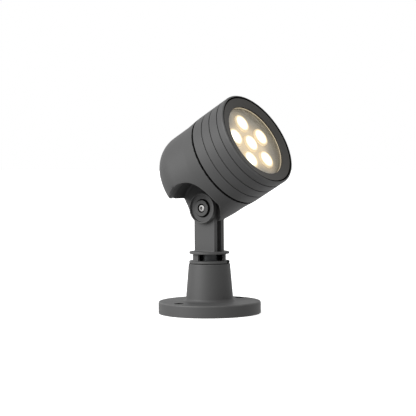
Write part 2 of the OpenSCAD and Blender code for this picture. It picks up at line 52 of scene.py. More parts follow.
CLOUD_SCALE, RUB_SCALE = 28.0, 160.0
RUB_GAIN, RUB_POLISH, UNEVEN = 1.6, 0.3, 0.16
DUST_COLOUR, WORN_COLOUR = (0.33, 0.32, 0.30, 1.0), (0.24, 0.24, 0.235, 1.0)
NEAR = 1e-3
FLAT_BEND, FULL_BEND, SHARP_BEND = 14.0, 21.0, 60.0
LOG = logging.getLogger("spotlight")


class Body(Enum):
    """The bodies that pieces ride on."""

    BASE = "base"
    ARM = "arm"
    HEAD = "head"


# ---- Finishes ------------------------


def node_group(name: str, inputs: Sequence[tuple], outputs: Sequence[tuple]) -> bpy.types.NodeTree:
    """Makes an empty shader node group with named sockets.

    Args:
        name: The group's name.
        inputs: Socket name, socket type and default value of each input.
        outputs: Socket name and socket type of each output.

    Returns:
        The node tree, with a Group Input and a Group Output node in it.
    """
    tree = bpy.data.node_groups.new(name, "ShaderNodeTree")
    for title, kind, default in inputs:
        socket = tree.interface.new_socket(name=title, in_out="INPUT", socket_type=kind)
        if default is not None:
            socket.default_value = default
    for title, kind in outputs:
        tree.interface.new_socket(name=title, in_out="OUTPUT", socket_type=kind)
    tree.nodes.new("NodeGroupInput").name = "in"
    tree.nodes.new("NodeGroupOutput").name = "out"
    return tree


def math_node(tree: bpy.types.NodeTree, operation: str, first: object, second: object) -> bpy.types.NodeSocket:
    """Adds a Math node.

    Args:
        tree: The tree to add it to.
        operation: The node's operation.
        first: A socket or a number.
        second: A socket or a number.

    Returns:
        The node's output socket.
    """
    node = tree.nodes.new("ShaderNodeMath")
    node.operation = operation
    for slot, value in zip(node.inputs, (first, second)):
        if isinstance(value, bpy.types.NodeSocket):
            tree.links.new(value, slot)
        else:
            slot.default_value = value
    return node.outputs[0]


def noise_node(
    tree: bpy.types.NodeTree, vector: bpy.types.NodeSocket, scale: object, detail: float,
) -> bpy.types.NodeSocket:
    """Adds a Noise Texture node.

    Args:
        tree: The tree to add it to.
        vector: The coordinates' socket.
        scale: A socket or a number.
        detail: The noise's detail.

    Returns:
        The noise's factor socket.
    """
    node = tree.nodes.new("ShaderNodeTexNoise")
    node.inputs["Detail"].default_value = detail
    tree.links.new(vector, node.inputs["Vector"])
    if isinstance(scale, bpy.types.NodeSocket):
        tree.links.new(scale, node.inputs["Scale"])
    else:
        node.inputs["Scale"].default_value = scale
    return node.outputs["Fac"]


def coat_grain_group() -> bpy.types.NodeTree:
    """Builds the grain of a sprayed or moulded surface.

    Returns:
        A group that turns coordinates and a colour into a mottled colour, a roughness and a height.
    """
    tree = node_group(
        "coat_grain",
        [
            ("Vector", "NodeSocketVector", None),
            ("Colour", "NodeSocketColor", (0.1, 0.1, 0.1, 1.0)),
            ("Grain Scale", "NodeSocketFloat", 1500.0),
            ("Mottle", "NodeSocketFloat", 0.08),
            ("Roughness", "NodeSocketFloat", 0.5),
            ("Dust", "NodeSocketFloat", 0.0),
            ("Edge", "NodeSocketFloat", 0.0),
            ("Wear", "NodeSocketFloat", 0.0),
        ],
        [("Colour", "NodeSocketColor"), ("Roughness", "NodeSocketFloat"), ("Height", "NodeSocketFloat")],
    )
    group_in, group_out = tree.nodes["in"], tree.nodes["out"]
    vector = group_in.outputs["Vector"]
    grain = noise_node(tree, vector, group_in.outputs["Grain Scale"], 3.0)
    cloud = noise_node(tree, vector, CLOUD_SCALE, 4.0)

    # the colour drifts up and down by Mottle, over large clouds and the fine grain together
    half_grain, half_cloud = (math_node(tree, "MULTIPLY", noise, 0.5) for noise in (grain, cloud))
    drift = math_node(tree, "ADD", half_grain, half_cloud)
    swing = math_node(tree, "MULTIPLY", math_node(tree, "SUBTRACT", drift, 0.5), group_in.outputs["Mottle"])
    gain = math_node(tree, "ADD", math_node(tree, "MULTIPLY", swing, 2.0), 1.0)
    tint = tree.nodes.new("ShaderNodeVectorMath")
    tint.operation = "SCALE"
    tree.links.new(group_in.outputs["Colour"], tint.inputs[0])
    tree.links.new(gain, tint.inputs["Scale"])

    # dust gathers in patches
    patch = math_node(tree, "MULTIPLY", math_node(tree, "POWER", cloud, 3.0), group_in.outputs["Dust"])
    dusty = tree.nodes.new("ShaderNodeMix")
    dusty.data_type = "RGBA"
    dusty.inputs["B"].default_value = DUST_COLOUR
    tree.links.new(patch, dusty.inputs["Factor"])
    tree.links.new(tint.outputs[0], dusty.inputs["A"])

    # edges are rubbed paler and smoother, in patches
    rub_patch = math_node(tree, "MULTIPLY", noise_node(tree, vector, RUB_SCALE, 3.0), RUB_GAIN)
    on_edge = math_node(tree, "MULTIPLY", group_in.outputs["Edge"], group_in.outputs["Wear"])
    rub = math_node(tree, "MULTIPLY", on_edge, rub_patch)
    worn = tree.nodes.new("ShaderNodeMix")
    worn.data_type = "RGBA"
    worn.inputs["B"].default_value = WORN_COLOUR
    tree.links.new(rub, worn.inputs["Factor"])
    tree.links.new(dusty.outputs["Result"], worn.inputs["A"])
    tree.links.new(worn.outputs["Result"], group_out.inputs["Colour"])

    uneven = math_node(tree, "MULTIPLY", math_node(tree, "SUBTRACT", cloud, 0.5), UNEVEN)
    rough = math_node(tree, "ADD", group_in.outputs["Roughness"], uneven)
    polished = math_node(tree, "SUBTRACT", rough, math_node(tree, "MULTIPLY", rub, RUB_POLISH))
    tree.links.new(polished, group_out.inputs["Roughness"])
    tree.links.new(grain, group_out.inputs["Height"])
    return tree


def blank_material(name: str) -> tuple[bpy.types.Material, bpy.types.NodeTree, bpy.types.Node]:
    """Makes a material with a plain shader in it.

    Args:
        name: The material's name.

    Returns:
        The material, its node tree and its Principled BSDF.
    """
    material = bpy.data.materials.new(name)
    material.use_nodes = True
    return material, material.node_tree, material.node_tree.nodes["Principled BSDF"]


def coat_node(
    tree: bpy.types.NodeTree, grain: bpy.types.NodeTree, vector: bpy.types.NodeSocket,
    colour: tuple[float, float, float], values: dict[str, float],
) -> bpy.types.Node:
    """Places the shared grain group in a material.

    Args:
        tree: The material's node tree.
        grain: The shared grain group.
        vector: The coordinates' socket.
        colour: The surface's own colour.
        values: The group's other inputs by name.

    Returns:
        The group's node.
    """
    coat = tree.nodes.new("ShaderNodeGroup")
    coat.node_tree = grain
    coat.inputs["Colour"].default_value = (*colour, 1.0)
    for name, value in values.items():
        coat.inputs[name].default_value = value
    tree.links.new(vector, coat.inputs["Vector"])
    return coat


@dataclass(frozen=True)
class Finish:
    """An opaque finish: a coat, a moulding or a metal."""

    name: str
    colour: tuple[float, float, float]
    roughness: float
    metallic: float = 0.0
    grain_scale: float = 1500.0
    grain_depth: float = 0.02
    mottle: float = 0.06
    dust: float = 0.0
    specular: float = 0.5
    stretch: tuple[float, float, float] = (1.0, 1.0, 1.0)
    wear: float = 0.0

    def build(self, grain: bpy.types.NodeTree) -> bpy.types.Material:
        """Builds the material.

        Args:
            grain: The shared grain group.

        Returns:
            The material.
        """
        material, tree, shader = blank_material(self.name)
        coords = tree.nodes.new("ShaderNodeTexCoord")
        mapping = tree.nodes.new("ShaderNodeMapping")
        mapping.inputs["Scale"].default_value = self.stretch
        tree.links.new(coords.outputs["Object"], mapping.inputs["Vector"])
        values = {
            "Grain Scale": self.grain_scale, "Mottle": self.mottle, "Roughness": self.roughness,
            "Dust": self.dust, "Wear": self.wear,
        }
        coat = coat_node(tree, grain, mapping.outputs["Vector"], self.colour, values)
        if self.wear:
            edge = tree.nodes.new("ShaderNodeAttribute")
            edge.attribute_name = "edge"
            tree.links.new(edge.outputs["Fac"], coat.inputs["Edge"])
        bump = tree.nodes.new("ShaderNodeBump")
        bump.inputs["Strength"].default_value = 1.0
        bump.inputs["Distance"].default_value = self.grain_depth * MM
        tree.links.new(coat.outputs["Height"], bump.inputs["Height"])
        tree.links.new(coat.outputs["Colour"], shader.inputs["Base Color"])
        tree.links.new(coat.outputs["Roughness"], shader.inputs["Roughness"])
        tree.links.new(bump.outputs["Normal"], shader.inputs["Normal"])
        shader.inputs["Metallic"].default_value = self.metallic
        shader.inputs["Specular IOR Level"].default_value = self.specular
        return material


@dataclass(frozen=True)
class ClearFinish:
    """Glass or clear plastic."""

    name: str
    colour: tuple[float, float, float]
    roughness: float
    ior: float
    grain_scale: float = 60.0
    mottle: float = 0.01

    def build(self, grain: bpy.types.NodeTree) -> bpy.types.Material:
        """Builds the material.

        Args:
            grain: The shared grain group, which gives a clear finish its faint unevenness.

        Returns:
            The material.
        """
        material, tree, shader = blank_material(self.name)
        coords = tree.nodes.new("ShaderNodeTexCoord")
        values = {"Grain Scale": self.grain_scale, "Mottle": self.mottle, "Roughness": self.roughness}
        coat = coat_node(tree, grain, coords.outputs["Object"], self.colour, values)
        tree.links.new(coat.outputs["Colour"], shader.inputs["Base Color"])
        shader.inputs["Roughness"].default_value = self.roughness
        shader.inputs["IOR"].default_value = self.ior
        shader.inputs["Transmission Weight"].default_value = 1.0
        return material


def even(red: float, green: float, blue: float) -> tuple[tuple[float, tuple[float, float, float]], ...]:
    """Gives the stops of a glow that is the same from middle to rim."""
    return ((0.0, (red, green, blue)), (1.0, (red, green, blue)))


@dataclass(frozen=True)
class GlowFinish:
    """A glowing surface whose glow runs from its middle to its rim, along the piece's radial attribute: painted lamp
    light on the lenses, holder and edges, and the LED chips' own glow.
    """

    name: str
    surface: tuple[float, float, float]
    stops: tuple[tuple[float, tuple[float, float, float]], ...]
    strength: float
    roughness: float = 0.35

    def build(self, grain: bpy.types.NodeTree) -> bpy.types.Material:
        """Builds the material.

        Args:
            grain: The shared grain group, which mottles the surface under the glow.

        Returns:
            The material.
        """
        material, tree, shader = blank_material(self.name)
        radial = tree.nodes.new("ShaderNodeAttribute")
        radial.attribute_name = "radial"
        ramp = tree.nodes.new("ShaderNodeValToRGB")
        steps = ramp.color_ramp.elements
        while len(steps) < len(self.stops):
            steps.new(1.0)
        for step, (position, colour) in zip(steps, self.stops):
            step.position = position
            step.color = (*colour, 1.0)
        tree.links.new(radial.outputs["Fac"], ramp.inputs["Fac"])
        coords = tree.nodes.new("ShaderNodeTexCoord")
        coat = coat_node(tree, grain, coords.outputs["Object"], self.surface, {"Roughness": self.roughness})
        tree.links.new(coat.outputs["Colour"], shader.inputs["Base Color"])
        tree.links.new(coat.outputs["Roughness"], shader.inputs["Roughness"])
        tree.links.new(ramp.outputs["Color"], shader.inputs["Emission Color"])
        shader.inputs["Emission Strength"].default_value = self.strength
        return material


class Paint(Enum):
    """Every finish on the lamp."""

    COAT = Finish(
        "anthracite_coat", (0.066, 0.066, 0.066), 0.56,
        grain_scale=1400.0, grain_depth=0.03, dust=0.03, specular=0.4, wear=0.2,
    )
    BEZEL = Finish(
        "bezel_coat", (0.042, 0.039, 0.034), 0.5, grain_scale=1400.0, grain_depth=0.03, specular=0.4, wear=0.12,
    )
    # painted shade: a near-black finish put on hole walls, groove rings, the seam and the lip's inside, where shade
    # falls
    PAINTED_SHADE = Finish("painted_shade", (0.008, 0.008, 0.008), 0.9, grain_scale=900.0, grain_depth=0.01, specular=0.0)
    RUBBER = Finish("black_rubber", (0.008, 0.008, 0.008), 0.85, grain_scale=900.0, grain_depth=0.02, specular=0.08)
    NYLON = Finish("black_nylon", (0.015, 0.015, 0.016), 0.55, grain_scale=2200.0, grain_depth=0.01, specular=0.25)
    ZINC = Finish("zinc_steel", (0.36, 0.36, 0.35), 0.38, 1.0, 900.0, 0.01, 0.12)
    BLACKENED = Finish("blackened_steel", (0.03, 0.032, 0.034), 0.45, 0.3, 900.0, 0.01, 0.1)
    STAINLESS = Finish("stainless_steel", (0.3, 0.295, 0.29), 0.4, 1.0, 1200.0, 0.008, 0.08)
    BRONZE = Finish("bronze_bush", (0.45, 0.3, 0.14), 0.35, 1.0, 900.0, 0.01, 0.12)
    BOARD = Finish("board_white", (0.8, 0.79, 0.76), 0.4, grain_scale=1200.0, grain_depth=0.01)
    SPREADER = Finish("spreader_aluminium", (0.6, 0.61, 0.62), 0.35, 1.0, 700.0, 0.02, 0.1, stretch=(1.0, 0.08, 1.0))
    DRIVER = Finish("driver_plastic", (0.03, 0.03, 0.035), 0.5, grain_scale=1500.0, grain_depth=0.02)
    LEAD_BROWN = Finish("lead_brown", (0.16, 0.05, 0.02), 0.4, grain_scale=2000.0, grain_depth=0.005)
    LEAD_BLUE = Finish("lead_blue", (0.02, 0.06, 0.25), 0.4, grain_scale=2000.0, grain_depth=0.005)
    GLASS = ClearFinish("clear_glass", (0.97, 0.98, 0.98), 0.0, 1.3)
    # painted glow: lamp light on the glass's edge and on the window liner
    GLASS_EDGE_GLOW = GlowFinish("glass_edge_painted_glow", (0.3, 0.28, 0.24), even(0.1, 0.085, 0.06), 1.0)
    # painted glow: lamp light on the foot of the bezel's window wall
    LIT_EDGE = GlowFinish("lit_window_edge", (0.3, 0.28, 0.24), even(0.6, 0.5, 0.33), 1.0)
    # painted glow: lamp light spilling onto the holder, bright by the lenses and fading between them
    HOLDER_GLOW = GlowFinish(
        "holder_plastic", (0.3, 0.27, 0.22),
        (
            (0.0, (0.06, 0.05, 0.032)), (0.3, (0.09, 0.072, 0.046)),
            (0.65, (0.24, 0.175, 0.1)), (1.0, (0.5, 0.37, 0.21)),
        ),
        1.0,
    )
    # painted glow: the LEDs' light through each lens, a warm rim on its sides and a white core fading to warm on its
    # face
    LENS_SIDE_GLOW = GlowFinish("lens_side_painted_glow", (0.8, 0.7, 0.5), even(1.0, 0.75, 0.4), 0.45)
    LENS_FACE_GLOW = GlowFinish(
        "lens_acrylic", (0.25, 0.22, 0.16),
        (
            (0.0, (1.0, 0.98, 0.9)), (0.6, (0.75, 0.68, 0.52)), (0.8, (0.36, 0.3, 0.19)),
            (0.9, (0.25, 0.19, 0.11)), (1.0, (0.18, 0.13, 0.07)),
        ),
        3.0,
    )
    EMITTER = GlowFinish("warm_emitter", (1.0, 0.8, 0.45), even(1.0, 0.8, 0.45), 3.0)


@dataclass
class PaintShop:
    """Makes each finish once and hands out its material."""

    grain: bpy.types.NodeTree = field(default_factory=coat_grain_group)
    made: dict[Paint, bpy.types.Material] = field(default_factory=dict)

    def get(self, paint: Paint) -> bpy.types.Material:
        """Gives a finish's material.

        Args:
            paint: The finish.

        Returns:
            The material, built the first time it is asked for.
        """
        if paint not in self.made:
            self.made[paint] = paint.value.build(self.grain)
        return self.made[paint]

    def some(self, *paints: Paint) -> list[bpy.types.Material]:
        """Gives the materials of several finishes, in order."""
        return [self.get(paint) for paint in paints]


# ---- Mesh work ------------------------


@dataclass(frozen=True)
class Corner:
    """A corner of a turned profile that gets rounded."""

    radius: float
    height: float
    rounding: float


def turned(
    profile: Sequence[tuple[float, float]], corners: Sequence[Corner] = (), steps: int = 128, closed: bool = True,
) -> bmesh.types.BMesh:
    """Turns a profile about Z and rounds its corners.

    Args:
        profile: Radius and height of each profile point, in millimetres.
        corners: The corners to round.
        steps: How many faces go round.
        closed: Whether the last point joins the first. An open profile starts and ends on the axis.

    Returns:
        The turned body, in millimetres.
    """
    mesh = bmesh.new()
    points = [mesh.verts.new((radius, 0.0, height)) for radius, height in profile]
    edges = [mesh.edges.new(pair) for pair in zip(points, points[1:])]
    if closed:
        edges.append(mesh.edges.new((points[-1], points[0])))
    bmesh.ops.spin(
        mesh, geom=points + edges, cent=(0, 0, 0), axis=(0, 0, 1), angle=math.tau, steps=steps, use_merge=True,
    )
    bmesh.ops.remove_doubles(mesh, verts=mesh.verts, dist=1e-5)
    bmesh.ops.dissolve_degenerate(mesh, dist=1e-5, edges=mesh.edges)
    bmesh.ops.recalc_face_normals(mesh, faces=mesh.faces)
    for corner in corners:
        round_ring(mesh, corner)
    return mesh


def bevelled(mesh: bmesh.types.BMesh, edges: Sequence[bmesh.types.BMEdge], size: float, segments: int) -> None:
    """Bevels edges of a body.

    Args:
        mesh: The body.
        edges: The edges.
        size: The bevel's size, in the body's own units.
        segments: How many faces the bevel has across.
    """
    bmesh.ops.bevel(
        mesh, geom=edges, offset=size, offset_type="OFFSET", segments=segments, profile=0.5,
        affect="EDGES", material=-1,
    )


def round_ring(mesh: bmesh.types.BMesh, corner: Corner) -> None:
    """Rounds the ring of edges at one corner of a turned body.

    Args:
        mesh: The turned body.
        corner: The corner and its rounding.
    """

    def on_corner(vert: bmesh.types.BMVert) -> bool:
        """Tells whether a vertex lies on the corner's ring."""
        return abs(vert.co.xy.length - corner.radius) < NEAR and abs(vert.co.z - corner.height) < NEAR

    ring = [edge for edge in mesh.edges if all(on_corner(vert) for vert in edge.verts)]
    bevelled(mesh, ring, corner.rounding, 4)


def prism(sides: int, radius: float, low: float, high: float, chamfer: float = 0.0) -> bmesh.types.BMesh:
    """Makes a prism about Z.

    Args:
        sides: How many sides it has.
        radius: The radius of its corners, in millimetres.
        low: The height of its lower face.
        high: The height of its upper face.
        chamfer: The size of the bevel on all its edges.

    Returns:
        The prism.
    """
    mesh = bmesh.new()
    bmesh.ops.create_cone(mesh, cap_ends=True, segments=sides, radius1=radius, radius2=radius, depth=high - low)
    bmesh.ops.translate(mesh, verts=mesh.verts, vec=(0, 0, (low + high) / 2))
    if chamfer:
        bevelled(mesh, list(mesh.edges), chamfer, 2)
    return mesh


def shaded(mesh: bmesh.types.BMesh, finish_at: Callable[[float, float], int]) -> bmesh.types.BMesh:
    """Chooses the finish of each face of a turned body.

    Args:
        mesh: The body.
        finish_at: Gives the number of the finish at a face's radius and height.

    Returns:
        The same body.
    """
    for face in mesh.faces:
        spot = face.calc_center_median()
        face.material_index = int(finish_at(spot.xy.length, spot.z))
    return mesh


def placed(mesh: bmesh.types.BMesh, place: Matrix) -> bmesh.types.BMesh:
    """Moves a body drawn in millimetres to its place in the row frame, in metres.

    Args:
        mesh: The body.
        place: Its place.

    Returns:
        The same body.
    """
    bmesh.ops.transform(mesh, matrix=place @ Matrix.Scale(MM, 4), verts=mesh.verts)
    return mesh


def to_object(mesh: bmesh.types.BMesh, name: str) -> bpy.types.Object:
    """Turns a bmesh into an object at the origin.

    Args:
        mesh: The body, in metres. It is freed.
        name: The object's name.

    Returns:
        The object.
    """
    data = bpy.data.meshes.new(name)
    mesh.to_mesh(data)
    mesh.free()
    thing = bpy.data.objects.new(name, data)
    bpy.context.scene.collection.objects.link(thing)
    return thing


def frozen(thing: bpy.types.Object) -> None:
    """Applies an object's modifiers to its mesh.

    Args:
        thing: The object.
    """
    shown = bpy.context.evaluated_depsgraph_get()
    finished = bpy.data.meshes.new_from_object(thing.evaluated_get(shown))
    thing.modifiers.clear()
    old = thing.data
    thing.data = finished
    finished.name = thing.name
    bpy.data.meshes.remove(old)


def carved(thing: bpy.types.Object, cutter: bmesh.types.BMesh) -> None:
    """Cuts one body out of another.

    Args:
        thing: The object that is cut.
        cutter: The body that is taken away, in metres.
    """
    tool = to_object(cutter, "cutter")
    cut = thing.modifiers.new("cut", "BOOLEAN")
    cut.operation = "DIFFERENCE"
    cut.solver = "EXACT"
    cut.object = tool
    frozen(thing)
    bpy.data.objects.remove(tool)


def softened(thing: bpy.types.Object, chosen: Callable[[Vector], float], passes: int) -> None:
    """Smooths part of a mesh further, as a worn pattern leaves a soft rim.

    Args:
        thing: The object.
        chosen: Gives the weight of the smoothing at a point, from 0 to 1.
        passes: How many times the surface is smoothed.
    """
    group = thing.vertex_groups.new(name="soft")
    for vertex in thing.data.vertices:
        weight = chosen(vertex.co)
        if weight > 0.0:
            group.add([vertex.index], weight, "REPLACE")
    smooth = thing.modifiers.new("soften", "SMOOTH")
    smooth.vertex_group = group.name
    smooth.factor = 0.5
    smooth.iterations = passes
    frozen(thing)
    thing.vertex_groups.clear()


def cast_copy(node: str, name: str, voxel: float, passes: int) -> bpy.types.Object:
    """Makes a softened copy of a CAD node, with the rounded edges that casting and coating leave.

    Args:
        node: The CAD node.
        name: The new object's name.
        voxel: The mesh size, in millimetres.
        passes: How many times the surface is smoothed.

    Returns:
        The new object.
    """
    mesh = bmesh.new()
    mesh.from_mesh(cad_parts[node].data)
    bmesh.ops.remove_doubles(mesh, verts=mesh.verts, dist=1e-6)
    thing = to_object(mesh, name)
    remesh = thing.modifiers.new("remesh", "REMESH")
    remesh.mode = "VOXEL"
    remesh.voxel_size = voxel * MM
    smooth = thing.modifiers.new("smooth", "SMOOTH")
    smooth.factor = 0.5
    smooth.iterations = passes
    frozen(thing)
    return thing


def radial_attribute(thing: bpy.types.Object, place: Matrix, reach: float, aside: float = 0.0) -> None:
    """Stores on each vertex how far it is from a piece's axis, from 0 in the middle to 1 at its reach.

    Args:
        thing: The piece.
        place: The piece's place, whose Z is the axis.
        reach: The distance that counts as 1, in millimetres.
        aside: How far the middle lies towards -Y of the axis, in millimetres.
    """
    attribute = thing.data.attributes.new("radial", "FLOAT", "POINT")
    back = place.inverted()
    for vertex, value in zip(thing.data.vertices, attribute.data):
        local = back @ (vertex.co + Vector((0.0, aside * MM, 0.0)))
        value.value = min(1.0, math.hypot(local.x, local.y) / (reach * MM))


def edge_attribute(thing: bpy.types.Object) -> None:
    """Stores on each vertex whether it lies on a rounded outer edge, where a coat gets rubbed.

    Args:
        thing: The piece.
    """
    mesh = bmesh.new()
    mesh.from_mesh(thing.data)
    bends = [
        math.degrees(max((edge.calc_face_angle_signed(0.0) for edge in vert.link_edges), default=0.0))
        for vert in mesh.verts
    ]
    mesh.free()
    attribute = thing.data.attributes.new("edge", "FLOAT", "POINT")
    for bend, value in zip(bends, attribute.data):
        value.value = min(1.0, max(0.0, (bend - FLAT_BEND) / (FULL_BEND - FLAT_BEND))) if bend < SHARP_BEND else 0.0


def finish_piece(
    thing: bpy.types.Object, body: Body, materials: Sequence[bpy.types.Material],
    replaced: Sequence[str] = (), sharp: float = 40.0,
) -> None:
    """Dresses a new piece and ties it to its body.

    Args:
        thing: The piece.
        body: The body it rides on.
        materials: Its materials, in the order of its faces' indexes.
        replaced: The CAD nodes it stands for.
        sharp: The angle past which an edge stays sharp, in degrees.
    """
    data = thing.data
    for material in materials:
        data.materials.append(material)
    edge_attribute(thing)
    data.shade_smooth()
    data.set_sharp_from_angle(angle=math.radians(sharp))
    weighted = thing.modifiers.new("weighted", "WEIGHTED_NORMAL")
    weighted.keep_sharp = True
    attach(thing, body.value)
    if replaced:
        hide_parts(*replaced)
    second = sum(1 for face in data.polygons if face.material_index)
    LOG.info("%s: %d faces on %s, %d in a second finish", thing.name, len(data.polygons), body.value, second)


# ---- Places ------------------------


def middle(node: str) -> Vector:
    """Gives the middle of a CAD node's box, in metres."""
    low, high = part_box(node)
    return (Vector(low) + Vector(high)) / 2


@dataclass(frozen=True)
class LampLine:
    """The lamp's centre line and the tilt axis, read from the frame."""

    pivot: Vector
    forward: Vector
    glass: Vector

    @classmethod
    def read(cls) -> "LampLine":
        """Reads the line from the middles of the glass and the heat spreader.

        Returns:
            The lamp's line.
        """
        glass = middle("front_glass")
        return cls(middle("pivot_bush"), (glass - middle("heat_spreader")).normalized(), glass)

    @property
    def rise(self) -> Vector:
        """The direction square to the lamp and to the tilt axis."""
        return self.forward.cross(Vector((0.0, 1.0, 0.0))).normalized()

    def measure(self, point: Vector) -> tuple[float, float]:
        """Measures where a point lies along and away from the lamp's line.

        Args:
            point: The point, in metres.

        Returns:
            Its station ahead of the tilt axis and its distance from the line, in millimetres.
        """
        arm = point - self.glass
        along = arm.dot(self.forward)
        return (point - self.pivot).dot(self.forward) / MM, (arm - self.forward * along).length / MM

    def place(self, station: float, turn: float = 0.0, reach: float = 0.0) -> Matrix:
        """Places a body drawn about Z on the lamp's line, looking forwards.

        Args:
            station: Distance ahead of the tilt axis, in millimetres.
            turn: Turn about the line from straight up, in degrees.
            reach: Distance from the line, in millimetres.

        Returns:
            The place.
        """
        across = self.forward.cross(self.rise)
        upright = Matrix((self.rise, across, self.forward)).transposed().to_4x4()
        ahead = self.glass + self.forward * (station * MM - (self.glass - self.pivot).dot(self.forward))
        spin = Matrix.Rotation(math.radians(turn), 4, "Z")
        return Matrix.Translation(ahead) @ upright @ spin @ Matrix.Translation((reach * MM, 0, 0))


def along_y(centre: Vector, direction: int) -> Matrix:
    """Places a body drawn about Z on a line along Y.

    Args:
        centre: The line's origin, in metres.
        direction: 1 for +Y or -1 for -Y.

    Returns:
        The place.
    """
    return Matrix.Translation(centre) @ Matrix.Rotation(-direction * math.pi / 2, 4, "X")


# ---- Base ------------------------


@dataclass
class Base:
    """The flange with its tapered pedestal. Sizes in millimetres."""

    shop: PaintShop
    flange_r: float = 50.0
    flange_h: float = 12.0
    edge_r: float = 1.6
    under_r: float = 0.7
    top_round: float = 0.5
    foot_r: float = 23.3
    top_r: float = 20.2
    top_z: float = 48.4
    foot_fillet: float = 3.0
    bore_r: float = 9.05
    web_z: float = 40.4
    seat_r: float = 18.35
    seat_z: float = 47.85
    wall: float = 3.6
    seal_inner_r: float = 25.0
    seal_outer_r: float = 33.0
    seal_h: float = 1.8
    hole_circle_r: float = 40.0
    hole_turn: float = 79.0
    hole_r: float = 2.6
    sink_r: float = 4.6
    sink_depth: float = 4.5

    def build(self) -> None:
        """Builds the casting with its two sunk screw holes."""
        profile = [
            (self.foot_r, self.flange_h), (self.top_r, self.top_z), (self.seat_r, self.top_z),
            (self.seat_r, self.seat_z), (self.bore_r, self.seat_z), (self.bore_r, self.web_z),
            (self.top_r - self.wall, self.web_z), (self.foot_r - self.wall, 0.0),
            (self.seal_inner_r, 0.0), (self.seal_inner_r, self.seal_h),
            (self.seal_outer_r, self.seal_h), (self.seal_outer_r, 0.0),
            (self.flange_r, 0.0), (self.flange_r, self.flange_h),
        ]
        corners = [
            Corner(self.flange_r, self.flange_h, self.edge_r), Corner(self.flange_r, 0.0, self.under_r),
            Corner(self.foot_r, self.flange_h, self.foot_fillet), Corner(self.top_r, self.top_z, self.top_round),
        ]
        casting = to_object(placed(turned(profile, corners, steps=160), Matrix.Identity(4)), "base_casting_cast")
        for half in (0, 180):
            carved(casting, self.screw_hole(half))
        finish_piece(casting, Body.BASE, self.shop.some(Paint.COAT, Paint.PAINTED_SHADE), ["base_casting"])

    def screw_hole(self, half: float) -> bmesh.types.BMesh:
        """Makes the body of one sunk screw hole. Its faces carry the second finish, the painted shade of the hole's
        walls.

        Args:
            half: Turn from the first hole, in degrees.

        Returns:
            The body, in metres.
        """
        floor = self.flange_h - self.sink_depth
        profile = [
            (0.0, -1.0), (self.hole_r, -1.0), (self.hole_r, floor), (self.sink_r, floor),
            (self.sink_r, self.flange_h + 1.0), (0.0, self.flange_h + 1.0),
        ]
        turn = Matrix.Rotation(math.radians(self.hole_turn + half), 4, "Z")
        # every face of the hole takes the painted shade
        mesh = shaded(turned(profile, steps=48, closed=False), lambda radius, height: 1)
        return placed(mesh, turn @ Matrix.Translation((self.hole_circle_r * MM, 0, 0)))


# ---- Fork and pivot ------------------------


@dataclass
class Fork:
    """The swivelling fork. Its shape comes from the frame, softened as a casting."""

    shop: PaintShop
    voxel: float = 0.4
    passes: int = 1

    def build(self) -> None:
        """Builds the fork."""
        fork = cast_copy("fork_casting", "fork_casting_cast", self.voxel, self.passes)
        finish_piece(fork, Body.ARM, self.shop.some(Paint.COAT), ["fork_casting"], sharp=75.0)


